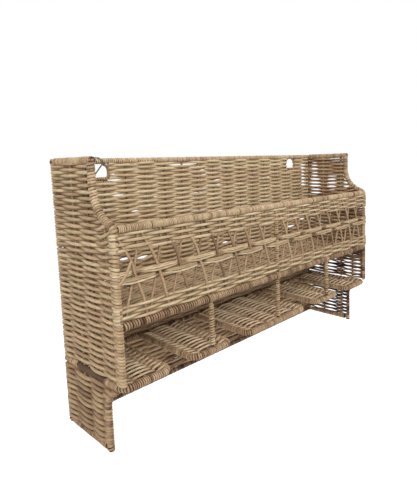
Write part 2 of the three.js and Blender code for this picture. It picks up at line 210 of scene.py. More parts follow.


# %% [markdown]
# The sheets, the trellis, the rim and the other bound rods have aged differently, so each has its own
# ramp. Its first colours are dark for painted shade, and only strands deep in the weave are that dark.
# In the sheets and the trellis the streaks are drawn out along the rows.

# %% The four canes
# The first stops are the colours of painted shade between the strands.
woven_colours = [(0, (64, 42, 31)), (0.16, (116, 86, 64)), (0.36, (168, 140, 108)),
                 (0.62, (196, 171, 136)), (1, (220, 201, 166))]
trellis_colours = [(0, (62, 46, 33)), (0.16, (108, 84, 62)), (0.38, (166, 140, 109)),
                   (0.66, (188, 165, 132)), (1, (210, 192, 162))]
rim_colours = [(0, (58, 42, 28)), (0.2, (116, 90, 64)), (0.5, (184, 158, 125)), (1, (214, 194, 162))]
bound_colours = [(0, (50, 36, 26)), (0.18, (100, 74, 54)), (0.42, (158, 129, 98)),
                 (0.75, (190, 164, 130)), (1, (216, 196, 164))]
along_rows = (110, 110, 700)
finishes = {
    "woven_cane": cane_finish("woven cane", woven_colours, 0.2, grain_scale=along_rows),
    "trellis_cane": cane_finish("trellis cane", trellis_colours, 0.2, grain_scale=along_rows),
    "rim_cane": cane_finish("rim cane", rim_colours, 0.18, 0.5),
    "bound_rod": cane_finish("bound rod", bound_colours, 0.2, 0.55),
}
print("finishes:", ", ".join(finishes))

# %% [markdown]
# ## Laying a strand
#
# A strand is a curve with a round bevel, drawn through the places where it bends, and then turned
# into a mesh. Modelling it as a cylinder and bending that would take a modifier for each of some
# thousand strands, so a curve is both quicker and truer. One curve object takes all the strands of a
# panel. Afterwards each strand of the mesh is numbered and gets its own shade.

# %% Helper: number the strands of a mesh
draw = np.random.default_rng(1917)


def number_strands(mesh):
    ends = np.empty(len(mesh.edges) * 2, int)
    mesh.edges.foreach_get("vertices", ends)
    first, second = ends.reshape(-1, 2).T
    label = np.arange(len(mesh.vertices))
    while True:
        lowest = np.minimum(label[first], label[second])
        linked = label.copy()
        np.minimum.at(linked, first, lowest)
        np.minimum.at(linked, second, lowest)
        linked = linked[linked]
        if (linked == label).all():
            return np.unique(label, return_inverse=True)[1]
        label = linked


# %% Helper: finish a piece
body = "root"
hue_spread = 0.16
girth_spread = 0.05
thinnest = 0.95


def finish_piece(piece, name, slot, nodes, shade, hue):
    piece.name = name
    piece.data.name = name
    for label, values in (("shade", shade), ("hue", hue)):
        attribute = piece.data.attributes.new(label, "FLOAT", "POINT")
        attribute.data.foreach_set("value", np.clip(values, 0, 1).astype(np.float32))
    piece.data.materials.clear()
    piece.data.materials.append(finishes[slot])
    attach(piece, body)
    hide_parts(*nodes)
    print(name, "has", len(piece.data.polygons), "faces")
    return piece


# %% Helper: the painted shade between the strands
# How dark the painted shade deep in a sheet is, and the depth over which it fades.
painted_crevice_shade = 0.17
skin = 4.8 * mm
everywhere = 10
x_axis, y_axis, z_axis = range(3)


def plane_at(axis, place):
    """The middle of a sheet, as the two corners of a box without thickness."""
    low = [-everywhere] * 3
    high = [everywhere] * 3
    low[axis] = place
    high[axis] = place
    return low, high


def painted_shade_in_sheet(piece, sheet):
    """Painted shade deep in a weave, where little light gets in between the strands. It fades from the
    sheet's middle to its skin.
    """
    places = np.empty(len(piece.data.vertices) * 3)
    piece.data.vertices.foreach_get("co", places)
    places = places.reshape(-1, 3)
    low, high = np.array(sheet)
    away = np.linalg.norm(np.maximum(0, np.maximum(low - places, places - high)), axis=1)
    return 1 - np.clip(away / skin, 0, 1)


# %% Helper: a curve object with a line for each route
def draw_curve(name, routes):
    curve = bpy.data.curves.new(name, "CURVE")
    curve.dimensions = "3D"
    for route in routes:
        spline = curve.splines.new("POLY")
        spline.points.add(len(route) - 1)
        spline.points.foreach_set("co", np.c_[route[:, :3], np.ones(len(route))].ravel())
    piece = bpy.data.objects.new(name, curve)
    bpy.context.collection.objects.link(piece)
    return piece


# %% Helper: lay strands
swelling = 0.04


def lay_strands(name, routes, thickness, slot, nodes=(), spread=0.09, tone=0.5, roundness=1, sheet=None,
                painted_shade_strength=painted_crevice_shade, hue=0.5):
    """Each route is a list of places. A fourth number at a place is the strand's relative thickness there.

    The strands of a piece are numbered from its last route to its first, so a list of tones or hues
    starts with the last route's.
    """
    routes = [np.array(route, float) for route in routes]
    piece = draw_curve(name, routes)
    curve = piece.data
    curve.bevel_depth = thickness / 2
    curve.bevel_resolution = roundness
    curve.use_fill_caps = True
    for spline, route in zip(curve.splines, routes):
        girth = route[:, 3] if route.shape[1] == 4 else np.ones(len(route))
        wave = swelling * np.sin(np.linspace(0, draw.uniform(4, 14), len(route)) + draw.uniform(0, 6))
        spline.points.foreach_set("radius", girth * (max(draw.normal(1, girth_spread), thinnest) + wave))
    pick(piece)
    bpy.ops.object.convert(target="MESH")
    bpy.ops.object.mode_set(mode="EDIT")
    bpy.ops.mesh.select_all(action="SELECT")
    bpy.ops.mesh.remove_doubles(threshold=0.001 * mm)
    bpy.ops.mesh.normals_make_consistent(inside=False)
    bpy.ops.object.mode_set(mode="OBJECT")
    bpy.ops.object.shade_smooth_by_angle(angle=radians(75))
    strand = number_strands(piece.data)
    count = strand.max() + 1
    shades = draw.normal(tone, spread, count)
    hues = draw.normal(hue, hue_spread, count)
    shade = shades[strand]
    # Painted shade: each strand is darker where it lies deep in its sheet.
    if sheet:
        shade = shade - painted_shade_strength * painted_shade_in_sheet(piece, sheet)
    return finish_piece(piece, name, slot, nodes, shade, hues[strand])


# %% [markdown]
# ## Winding a rod
#
# The rods are bound: a flat cane is wound round them from end to end, each turn beside the last. An
# eight-sided ring is pressed flat to the cane's section, and the Screw modifier turns it into a
# winding round a straight rod. The Curve modifier then bends that winding along the rod's own route,
# which is simpler than to lay a winding round a bend. The bare rod inside is a strand of its own and
# closes the small gaps between the turns.

# %% Helper: a number that wanders along a line
def wander(places, step, reach):
    knots = np.arange(places.min() - 2 * step, places.max() + 3 * step, step)
    return np.interp(places, knots, draw.normal(0, reach, len(knots)))


# %% Helper: wind a rod
cane_thickness = 2.6 * mm
# How dark the sides of the turns are painted, for the shade in the grooves between them.
painted_groove_shade = {"rim_cane": 0.45, "bound_rod": 0.62}
groove_depth = 0.6 * cane_thickness
section_sides = 8
steps_per_turn = 10
rail_pitch = 3.2 * mm
# The core is dark: the bare rod's own colour, together with painted shade for the gaps between the turns.
core_tone = 0.12
turn_slip = 0.07
turn_sink = 0.07
turn_lift = 0.03


def wind_rod(name, route, diameter, slot, nodes=(), tone=0.5, pitch=rail_pitch, spread=0.12, cover=0.88):
    """Wind one long cane round a rod. It covers that share of the pitch, and the rod shows between.

    No turn lies quite as the next: each slips aside, sinks or lifts by a share of the pitch or radius.
    """
    cane_width = cover * pitch
    route = np.array(route, float)
    length = np.linalg.norm(np.diff(route, axis=0), axis=1).sum()
    turns = max(2, round((length - cane_width) / pitch))
    pitch = (length - cane_width) / turns
    bpy.ops.object.select_all(action="DESELECT")
    bpy.ops.mesh.primitive_circle_add(vertices=section_sides, radius=0.5)
    cane = bpy.context.object
    bpy.ops.object.mode_set(mode="EDIT")
    bpy.ops.transform.resize(value=(cane_width, cane_thickness, 1), center_override=(0, 0, 0))
    bpy.ops.transform.rotate(value=pi / 2, orient_axis="X", center_override=(0, 0, 0))
    bpy.ops.transform.translate(value=(cane_width / 2, 0, (diameter - cane_thickness) / 2))
    bpy.ops.object.mode_set(mode="OBJECT")
    screw = cane.modifiers.new("wind", "SCREW")
    screw.axis = "X"
    screw.screw_offset = pitch
    screw.iterations = turns
    screw.steps = steps_per_turn
    screw.render_steps = steps_per_turn
    bpy.ops.object.modifier_apply(modifier="wind")
    bpy.ops.object.mode_set(mode="EDIT")
    bpy.ops.mesh.select_all(action="SELECT")
    bpy.ops.mesh.fill_holes(sides=section_sides)
    bpy.ops.mesh.normals_make_consistent(inside=False)
    bpy.ops.object.mode_set(mode="OBJECT")

    places = np.empty(len(cane.data.vertices) * 3)
    cane.data.vertices.foreach_get("co", places)
    places = places.reshape(-1, 3)
    ring = np.arange(len(places)) // section_sides / steps_per_turn
    sunk = (diameter / 2 - np.hypot(places[:, 1], places[:, 2])) / groove_depth
    places[:, 0] += wander(ring, 0.8, turn_slip * pitch)
    places[:, 1:] *= 1 + np.clip(wander(ring, 0.9, turn_lift), -turn_sink, turn_lift)[:, None]
    cane.data.vertices.foreach_set("co", places.ravel())
    shade = tone + wander(ring, 0.9, spread) + wander(ring, 9.0, 0.05)
    # Painted shade: the sides of each turn darken towards the rod, as in the grooves between turns.
    shade = shade - painted_groove_shade[slot] * np.clip(sunk, 0, 1)
    hue = 0.5 + wander(ring, 3.0, hue_spread)

    path = draw_curve(name + "_route", [route])
    pick(cane)
    bend = cane.modifiers.new("bend", "CURVE")
    bend.object = path
    bend.deform_axis = "POS_X"
    bpy.ops.object.modifier_apply(modifier="bend")
    bpy.data.objects.remove(path)
    bpy.ops.object.shade_smooth_by_angle(angle=radians(50))
    lay_strands(name + "_core", [route], diameter - 1.5 * cane_thickness, slot, tone=core_tone, spread=0)
    return finish_piece(cane, name, slot, nodes, shade, hue)


# %% [markdown]
# ## The rails and posts
#
# The straight rods come first: the rail over the back, the rims of the sides and the trough, and the
# posts between the shelf and the trough. Each takes its route and its thickness from the rod of the
# construction that it stands for.


# %% Helper: the route of a straight rod
def straight_route(node, along):
    """The axis of a rod of the construction, and the rod's thickness."""
    low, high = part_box(node)
    start = (low + high) / 2
    end = start.copy()
    start[along] = low[along]
    end[along] = high[along]
    return [start, end], min((high - low)[side] for side in range(3) if side != along)


# %% Straight rods
own_pitches = {"trough_rim_rail": 2.4 * mm, "trough_front_rail": 3.6 * mm}
own_thicknesses = {
    "side_top_rail_left": 10.6 * mm,
    "side_top_rail_right": 10.6 * mm,
    "trough_middle_post": 7.6 * mm,
}
straight_rods = {
    "back_top_rail": (x_axis, "bound_rod", 0.85),
    "back_foot_rail": (x_axis, "bound_rod", 0.4),
    "trough_rim_rail": (x_axis, "rim_cane", 0.62),
    "trough_front_rail": (x_axis, "bound_rod", 0.45),
    "trough_ledge_rail": (x_axis, "bound_rod", 0.35),
    "shelf_ledge_rail": (x_axis, "bound_rod", 0.35),
    "trough_middle_post": (z_axis, "bound_rod", 0.6),
    "hole_sill_left": (x_axis, "bound_rod", 0.6),
    "hole_sill_right": (x_axis, "bound_rod", 0.6),
}
for side in ("left", "right"):
    straight_rods["side_top_rail_" + side] = (y_axis, "bound_rod", 0.7)
    straight_rods["leg_foot_rail_" + side] = (y_axis, "bound_rod", 0.6)

for node, (along, slot, tone) in straight_rods.items():
    route, thickness = straight_route(node, along)
    thickness = own_thicknesses.get(node, thickness)
    wind_rod(node + "_binding", route, thickness, slot, [node], tone, own_pitches.get(node, rail_pitch))

# %% [markdown]
# Where one binding cane of the rim runs out, its end is tucked under and a new one starts. Two turns
# of the new cane lie over the old end and stand out a little.

# %% Joints in the rim's binding
rim_joints = (-279, -262, -198, -61, 17, 102, 188, 251)
joint_half = 2.6 * mm
joint_thickness = 10.4 * mm
joint_pitch = 2.3 * mm
for place in rim_joints:
    joint = [(place * mm - joint_half, front_y, rim_z), (place * mm + joint_half, front_y, rim_z)]
    wind_rod(f"trough_rim_joint_{place + 300}", joint, joint_thickness, "rim_cane", [], 0.3, joint_pitch)

# %% [markdown]
# Each of the three posts between the shelf and the trough is tied to the rail above it with a few
# thick turns round the rail.

# %% Shelf posts
post_pitch = 3.6 * mm
tie_half = 7 * mm
tie_thickness = 13.2 * mm
for post in ("middle_left", "centre", "middle_right"):
    node = "shelf_post_" + post
    route, thickness = straight_route(node, z_axis)
    wind_rod(node + "_binding", route, thickness, "bound_rod", [node], 0.6, post_pitch)
    place = route[0].x
    tie = [(place - tie_half, front_y, trough_z), (place + tie_half, front_y, trough_z)]
    wind_rod(node + "_tie", tie, tie_thickness, "bound_rod", [], 0.55, post_pitch)

# %% [markdown]
# ## The bent rods
#
# Each neck rod leans out from the side's top to the rim in a hollow bend and turns down again in a
# tight one. Its route is two arcs between straight runs, with the same radii as in the construction.
# The binding is wound without gaps here, because the turns crowd on the inside of a bend.

# %% Neck rods
flare_lean = radians(75)
rim_corner = 8 * mm
rim_corner_run = 2 * mm
bend_steps = 8
neck_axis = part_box("side_top_rail_left")[0].y + (top - web_top) / 2
seam_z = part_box("neck_rod_left")[0].z
both_radii = (neck_axis - post_y) / (1 - cos(flare_lean))
flare_radius = both_radii - rim_corner
corner_centre = (post_y + rim_corner, seam_z + rim_corner_run)
flare_centre = (neck_axis - flare_radius, corner_centre[1] + both_radii * sin(flare_lean))


def neck_route(x):
    hollow = [(flare_centre[0] + flare_radius * cos(a), flare_centre[1] - flare_radius * sin(a))
              for a in np.linspace(0, flare_lean, bend_steps + 1)]
    tight = [(corner_centre[0] - rim_corner * cos(a), corner_centre[1] + rim_corner * sin(a))
             for a in np.linspace(flare_lean, 0, bend_steps + 1)[1:]]
    route = [(neck_axis, top), *hollow, *tight, (post_y, seam_z)]
    return [(x, y, z) for y, z in route]


def neck_rise(y):
    """The height of the neck rod's axis at a place between the neck and the rim."""
    return flare_centre[1] - np.sqrt(max(flare_radius ** 2 - (y - flare_centre[0]) ** 2, 0))


neck_thickness = 10.4 * mm
neck_pitch = 3.8 * mm
hands = (("left", -1), ("right", 1))
for side, hand in hands:
    node = "neck_rod_" + side
    wind_rod(node + "_binding", neck_route(hand * side_x), neck_thickness, "rim_cane", [node],
             pitch=neck_pitch, cover=1.02)

# %% [markdown]
# Each slat has a rod bent round its front in two corners, and both its ends run back to the ledge
# rail. The outer runs of the two end slats lie between the side and the leg. There the rod is bound
# only at its back end and near the front, and the run between is a bare, darker rod.

# %% Helper: the route of a slat's rod
slats = ("left", "middle_left", "centre", "middle_right", "right")
slat_corner = 12 * mm


def slat_route(slat):
    low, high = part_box(f"slat_{slat}_rod")
    radius = (high.z - low.z) / 2
    left = low.x + radius
    right = high.x - radius
    front = low.y + radius
    back_left = high.y if slat != "right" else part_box("slat_right_weave")[1].y
    back_right = high.y if slat != "left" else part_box("slat_left_weave")[1].y
    turn = np.linspace(0, pi / 2, bend_steps + 1)
    first = [(left + slat_corner * (1 - cos(a)), front + slat_corner * (1 - sin(a))) for a in turn]
    second = [(right - slat_corner * (1 - sin(a)), front + slat_corner * (1 - cos(a))) for a in turn]
    route = [(left, back_left), *first, *second, (right, back_right)]
    return [(x, y, shelf_z) for x, y in route], 2 * radius


# %% Slat rods
slat_rod_pitch = 2.9 * mm
bound_end = 38 * mm
bare_run = 68 * mm
bare_thinner = 2 * mm
for slat in slats:
    route, thickness = slat_route(slat)
    node = f"slat_{slat}_rod"
    if slat in ("left", "right"):
        if slat == "right":
            route = route[::-1]
        start = Vector(route[0])
        bare_start = start - Vector((0, bound_end, 0))
        bare_end = bare_start - Vector((0, bare_run, 0))
        end_run = [start, bare_start]
        wind_rod(node + "_end_binding", end_run, thickness, "bound_rod", [node], 0.6, slat_rod_pitch)
        bare = [[bare_start, bare_end]]
        lay_strands(node + "_bare", bare, thickness - bare_thinner, "bound_rod", [node],
                    tone=0.26, roundness=3)
        route = [bare_end, *route[1:]]
    wind_rod(node + "_binding", route, thickness, "bound_rod", [node], 0.58, slat_rod_pitch)

# %% [markdown]
# ## Weaving a panel
#
# A weaver goes in front of one stake and behind the next, and its neighbour the other way round.
# Between two stakes all weavers cross the middle of the panel and touch. Over a stake only every
# second one lies in front, so each has room there and swells, and a dark pocket opens on both sides
# of the stake. Slow waves shift whole groups of rows, because no hand weaves quite straight.

# %% Helper: how a weaver passes the stakes
weaver = 4.8 * mm
slim = 0.9
stake = 3.8 * mm
swing = 2.6 * mm
upright_dive = 0.8
per_bay = 8


def steepened(wave, dive):
    """The smaller the power called dive, the longer a cane runs level and the steeper it dives."""
    return np.sign(wave) * np.abs(wave) ** dive


def passing(places, stakes, row):
    """1 where the weaver lies in front of a stake, -1 where it lies behind one, and 0 midway."""
    passed = np.interp(places, stakes, np.arange(len(stakes)))
    return steepened(np.cos(pi * (passed + row)), upright_dive)


def swollen(out, least=slim):
    return least + (1 - least) * np.abs(out)


# %% Helper: slow waves in the rows
wave_count = 6
wave_height = 0.3 * mm
wave_tilts = draw.uniform(-1, 1, (wave_count, 2)) * (18, 40)
wave_starts = draw.uniform(0, 2 * pi, wave_count)


def sag(along, up):
    phases = np.multiply.outer(along, wave_tilts[:, 0]) + np.multiply.outer(up, wave_tilts[:, 1])
    return wave_height * np.sin(phases + wave_starts).sum(-1)


# %% Helper: the small waves of one row
own_step = 30 * mm
own_height = 0.3 * mm


def own_wave(along):
    """No row lies quite as its neighbours do."""
    return wander(along, own_step, own_height)


# %% Helper: evenly spaced rows
def rows_between(low, high, pitch):
    count = round((high - low) / pitch)
    return low + (np.arange(count) + 0.5) * (high - low) / count


# %% Helper: push two rows apart where the weave is loose
loose_core = 2 * mm
loose_fade = 5 * mm


def loosen(along, rise, gaps):
    """Rows within the core move by all of a gap's lift, and those beyond it by less and less."""
    shift = np.zeros(len(along))
    for gap_along, gap_up, half_length, lift in gaps:
        near = np.exp(-((along - gap_along) / half_length) ** 4)
        away = rise - gap_up
        shift += lift * near * np.sign(away) * np.exp(-max(abs(away) - loose_core, 0) / loose_fade)
    return shift


def between_rows(up, rows):
    """The height of the seam between two rows that is nearest to a height."""
    seams = (rows[1:] + rows[:-1]) / 2
    return seams[np.argmin(abs(seams - up))]


# %% Helper: open the weave from row to row
pair_shift = 1.1 * mm


def in_metres(zones):
    """A zone has its place, its low and high end above the foot, its half length and a loss of girth."""
    return [(along * mm, foot + low * mm, foot + high * mm, half * mm, thinner)
            for along, low, high, half, thinner in zones]


def open_up(along, rise, row, zones):
    """In an open zone the rows draw together in pairs and are thinner, so a slit opens above each pair."""
    shift = np.zeros(len(along))
    girth = np.ones(len(along))
    for zone_along, low, high, half_length, thinner in zones:
        if low < rise < high:
            near = draw.uniform(0.75, 1.05) * np.exp(-((along - zone_along) / half_length) ** 4)
            shift += pair_shift * near * (1 if row % 2 else -1)
            girth -= thinner * near
    return shift, girth


# %% Helper: join a new cane to a row
def join_canes(route):
    """One row takes two canes. The second starts where the first ends."""
    cut = int(len(route) * draw.uniform(0.15, 0.85))
    if min(cut, len(route) - cut) < per_bay:
        return [route]
    return [route[:cut + 1], route[cut:]]


# %% [markdown]
# ## The back panel
#
# Its stakes stand 36 mm apart, counted from the left post, and the last bay takes what is left. The
# two hanging holes are left open: a weaver that meets one ends there and starts again beyond it. In
# some places the rows have slipped apart and the wall shows through. A texture with holes would look
# flat from the side, so every row is laid as canes, and a slipped place is a push on the rows near it.

# %% Places in the back panel
stake_pitch = 36.2 * mm
back_pitch = 3.8 * mm
back_stakes = [-side_x + stake_pitch * i for i in range(16)] + [side_x]
hole_half = 15.5 * mm
hole_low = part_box("hole_sill_left")[0].z
hole_places = [middle("hole_sill_left").x, middle("hole_sill_right").x]
inner_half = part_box("back_weave")[1].x
loose_places = [
    (-75, 358.5, 32, 1.2), (-208, 337.4, 10, 1.3), (-203, 313, 10, 1.2), (-209, 346, 4, 1),
    (-176, 290, 7, 1.4), (-143, 340, 11, 0.7), (-136, 307, 5, 0.8), (-134, 325, 8, 0.8),
    (-30, 344, 5, 1), (-29, 337, 6, 1), (4, 325, 7, 1), (6, 318, 5, 0.9), (4, 269, 11, 1.4),
    (142, 299, 8, 0.8), (150, 325, 6, 0.8), (-199, 216, 9, 1.8), (-168, 211, 11, 1.9), (-152, 207, 9, 1.8),
    (18, 208, 7, 1.5), (223, 213, 9, 2), (238, 210, 8, 1.9), (272, 222, 10, 2),
]
open_back = in_metres([(276, 298, 350, 8, 0.4)])
back_rises = rows_between(web_foot, web_top, back_pitch)
loose_back = [(x * mm, between_rows(foot + z * mm, back_rises), half * mm, lift * mm)
              for x, z, half, lift in loose_places]
print("the back panel has", len(back_rises), "rows and", len(loose_back), "loose places")

# %% Rows of the back panel
close_weaver = 5.4 * mm
close_swing = 1.8 * mm
close_top = foot + 118 * mm
cover_lift = 1.2 * mm
gap_under_rail = (-109 * mm, -39 * mm)


def back_row(row, start, end, rise):
    """A row of the back panel. Low in the panel the weave is closer."""
    places = np.linspace(start, end, max(3, round((end - start) / stake_pitch * per_bay)))
    out = passing(places, back_stakes, row)
    shift, thinner = open_up(places, rise, row, open_back)
    z = rise + sag(places, rise) + own_wave(places) + loosen(places, rise, loose_back) + shift
    reach = close_swing if rise < close_top else swing
    return np.c_[places, back_y - reach * out, z, swollen(out) * thinner]


back_routes = []
for row, rise in enumerate(back_rises):
    stops = [-inner_half, inner_half]
    if rise > hole_low:
        stops = [-inner_half, *[x + s for x in hole_places for s in (-hole_half, hole_half)], inner_half]
    for start, end in zip(stops[::2], stops[1::2]):
        back_routes += join_canes(back_row(row, start, end, rise))
cover_stops = [-inner_half, hole_places[0] - hole_half, hole_places[0] + hole_half, *gap_under_rail,
               hole_places[1] - hole_half, hole_places[1] + hole_half, inner_half]
for start, end in zip(cover_stops[::2], cover_stops[1::2]):
    back_routes.append(back_row(len(back_rises), start, end, web_top + cover_lift))

# %% [markdown]
# The back panel is painted darker and browner towards the foot, for the shade low inside the shelf, so
# its rows are laid as three pieces, each with its own tones from its top row to its lowest. Near the
# top the canes are thinner and take less painted shade between them.

# %% Back panel
back_nodes = ["back_weave", "back_top_weave_left", "back_top_weave_right"]
back_sheet = plane_at(y_axis, back_y)
third = len(back_routes) // 3
# Painted shade: the lower rows are darker and browner towards the foot.
lay_strands("back_weave_lower", back_routes[:third], close_weaver, "woven_cane", back_nodes,
            tone=0.38 + 0.16 * np.linspace(1, 0, third) ** 2, sheet=back_sheet,
            hue=np.linspace(0.5, 0.35, third))
lay_strands("back_weave_middle", back_routes[third:2 * third], close_weaver, "woven_cane", back_nodes,
            tone=np.linspace(0.64, 0.54, third), sheet=back_sheet)
lay_strands("back_weave_upper", back_routes[2 * third:], 5 * mm, "woven_cane", back_nodes, tone=0.7,
            sheet=back_sheet, painted_shade_strength=0.06)

# %% [markdown]
# The stakes are the upright canes that the rows are woven round. Those that meet a hanging hole end
# at its sill, and a thin one is bent along each of the hole's two edges.

# %% Stakes of the back panel
# The stakes are darker than the rows: painted shade for the pockets in which they show.
rib_tone = 0.28
back_ribs = []
for x in back_stakes[1:-1]:
    in_hole = min(abs(x - place) for place in hole_places) < hole_half
    back_ribs.append([(x, back_y, web_foot), (x, back_y, hole_low if in_hole else web_top)])
edge_line = [(7, 360.5), (2.5, 358.5), (0.3, 354), (0, 349), (0.3, 344), (2.5, 340.5), (7, 339)]
for place in hole_places:
    for hand in (-1, 1):
        back_ribs.append([(place + hand * (hole_half - inset * mm), back_y, foot + rise * mm)
                          for inset, rise in edge_line])
lay_strands("back_stakes", back_ribs, stake, "woven_cane", back_nodes, tone=rib_tone)

# %% [markdown]
# ## The side panels
#
# A side's weavers turn round the post at its front corner and round the one at its back, so neither
# post shows. Above the rim they end at the neck rod, and there they fan upwards, because the rod is
# longer than the height that it spans. The topmost rows below the rim rise with them. The right side
# is woven more loosely, so its rows have zones where they draw together in pairs.

# %% Helper: turn a weaver round a post
turn_drop = 1.5 * mm


def turn_round(y, x, hand, end_sign, rise):
    """Half a turn of a weaver round a post, from the outside of the panel to the inside."""
    return [(x + hand * swing * cos(a), y + end_sign * swing * sin(a), rise - turn_drop * a / pi, slim)
            for a in np.linspace(0, pi, 9)[1:]]


# %% Helpers: the ends of a standing panel's rows
back_run = 14 * mm


def near_ends(places, reach, front_run):
    """From 0 to 1, how near the places are to the front post and to the back one."""
    near_front = np.clip((places - (reach - front_run)) / front_run, 0, 1)
    near_back = np.clip(1 - (places + back_y) / back_run, 0, 1)
    return near_front, near_back


def with_turns(x, hand, places, out, rises, girth, both=True):
    """A row's route, with its turn round the back post and, if both is true, round the front one."""
    route = [(x + hand * swing * o, -p, h, g) for p, o, h, g in zip(places, out, rises, girth)]
    route = turn_round(back_y, x, hand, 1, rises[0])[::-1] + route
    if both:
        route = route + turn_round(-places[-1], x, hand, -1, rises[-1])
    return np.array(route)


# %% Helper: a row of a side panel
side_stakes = {
    "left": [-back_y, 52 * mm, 89 * mm, 127 * mm, -post_y],
    "right": [-back_y, 47 * mm, 92 * mm, 120 * mm, -post_y],
}
rim_level = seam_z - 1 * mm
side_front_run = 26 * mm
fan = 40 * mm
corner_lift = flare_centre[1] - flare_radius * sin(flare_lean) - rim_level
side_bay = 36 * mm


def side_row(side, hand, row, rise, open_zones):
    """The row comes to the outside near both posts and turns round them, or ends at the neck rod."""
    x = hand * side_x
    if rise < rim_level:
        end_rise = rise + corner_lift * np.clip(1 - (rim_level - rise) / fan, 0, 1)
        climb = max(end_rise - corner_centre[1], 0) / rim_corner
        reach = -post_y - rim_corner * (1 - np.sqrt(max(1 - climb ** 2, 0)))
    else:
        share = (rise - rim_level) / (flare_centre[1] - rim_level)
        angle = flare_lean * (1 - min(share, 1))
        reach = -(flare_centre[0] + flare_radius * cos(angle))
        end_rise = max(flare_centre[1] - flare_radius * sin(angle), rise)
    places = np.linspace(-back_y, reach, max(4, round((reach + back_y) / side_bay * per_bay)))
    out = passing(places, side_stakes[side], row)
    near_front, near_back = near_ends(places, reach, side_front_run)
    if rise < rim_level:
        out = out + (1 - out) * near_front ** 2
    out = out + (1 - out) * near_back ** 2
    z = rise + (end_rise - rise) * near_front ** 1.5 + sag(places + hand, rise) + own_wave(places)
    girth = swollen(out) * (1 - (1 - slim) * np.maximum(near_front, near_back) ** 2)
    shift, thinner = open_up(places, rise, row, open_zones)
    return with_turns(x, hand, places, out, z + shift, girth * thinner, rise < rim_level)


# %% Side panels
row_pitch = 3.9 * mm
side_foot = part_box("side_weave_left")[0].z
# The right side and leg are seen from inside, so their rows are painted darker, most below the trough:
# painted shade.
low_tones = {"left": 0.52, "right": 0.28}
high_tones = {"left": 0.55, "right": 0.46}
open_side = {
    "left": [],
    "right": [
        (25, 280, 316, 14, 0.42), (25, 316, 354, 9, 0.4), (70, 290, 322, 12, 0.4), (106, 294, 345, 7, 0.4),
        (84, 352, 361, 20, 0.3),
        (25, 104, 168, 11, 0.4), (70, 104, 142, 14, 0.4), (106, 104, 142, 10, 0.4), (133, 104, 142, 6, 0.4),
    ],
}
for side, hand in hands:
    zones = in_metres(open_side[side])
    routes = [side_row(side, hand, row, rise, zones)
              for row, rise in enumerate(rows_between(side_foot, web_top, row_pitch))]
    hidden = [f"side_weave_{side}", f"front_corner_post_{side}", f"back_post_upper_{side}"]
    side_sheet = plane_at(x_axis, hand * side_x)
    cover = side_row(side, hand, len(routes), web_top + cover_lift, [])
    if side == "right":
        routes += [cover[-cover[:, 1] < 60 * mm], cover[-cover[:, 1] > 108 * mm]]
    else:
        routes.append(cover)
    low_rows = round((trough_z - side_foot) / row_pitch)
    # Both pieces take painted shade deep in the sheet.
    lay_strands(f"side_weave_{side}_low_rows", routes[:low_rows], weaver, "woven_cane", hidden,
                tone=low_tones[side], sheet=side_sheet)
    lay_strands(f"side_weave_{side}_high_rows", routes[low_rows:], weaver, "woven_cane", hidden,
                tone=high_tones[side], sheet=side_sheet)
    tops = [web_top if y < -neck_axis else neck_rise(-y) for y in side_stakes[side][:-1]] + [seam_z]
    ribs = [[(hand * side_x, -y, side_foot), (hand * side_x, -y, min(z, top))]
            for y, z in zip(side_stakes[side], tops)]
    lay_strands(f"side_stakes_{side}", ribs, stake, "woven_cane", hidden, tone=rib_tone)

# %% [markdown]
# ## The legs
#
# The panels below the shelf are narrower, and the knee of the leg rod widens them towards the shelf.
# They are woven like the sides, round that rod in front and the lower back post behind. The knee's
# radius and lean are those of the construction.

# %% Helper: the reach of the leg rod
rod_radius = 4.5 * mm
knee_radius = 24 * mm
knee_lean = radians(55)
knee_run = 9 * mm
leg_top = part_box("leg_weave_left")[1].z
leg_front = -(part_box("nail_leg_left")[0].y - 1.2 * mm) - rod_radius
knee_top = leg_top - rod_radius * sin(knee_lean)
knee_start = knee_top - knee_run * cos(knee_lean) - knee_radius * sin(knee_lean)


def leg_reach(rise):
    """The depth of the leg rod's axis at a height."""
    climb = rise - knee_start
    if climb <= 0:
        return leg_front
    if climb < knee_radius * sin(knee_lean):
        return leg_front + knee_radius - np.sqrt(knee_radius ** 2 - climb ** 2)
    extra = climb - knee_radius * sin(knee_lean)
    return leg_front + knee_radius * (1 - cos(knee_lean)) + extra * np.tan(knee_lean)


# %% Helper: a row of a leg
leg_front_run = 20 * mm
least_bay = 10 * mm


def leg_row(side, hand, row, rise, open_zones):
    x = hand * side_x
    reach = leg_reach(rise)
    places = np.linspace(-back_y, reach, round((reach + back_y) / side_bay * per_bay))
    stakes = [*side_stakes[side][:3], max(reach, side_stakes[side][2] + least_bay)]
    out = passing(places, stakes, row)
    edge = np.maximum(*near_ends(places, reach, leg_front_run)) ** 2
    out = out + (1 - out) * edge
    shift, thinner = open_up(places, rise, row, open_zones)
    z = rise + sag(places + hand, rise) + own_wave(places) + shift
    girth = swollen(out) * (1 - (1 - slim) * edge) * thinner
    return with_turns(x, hand, places, out, z, girth)


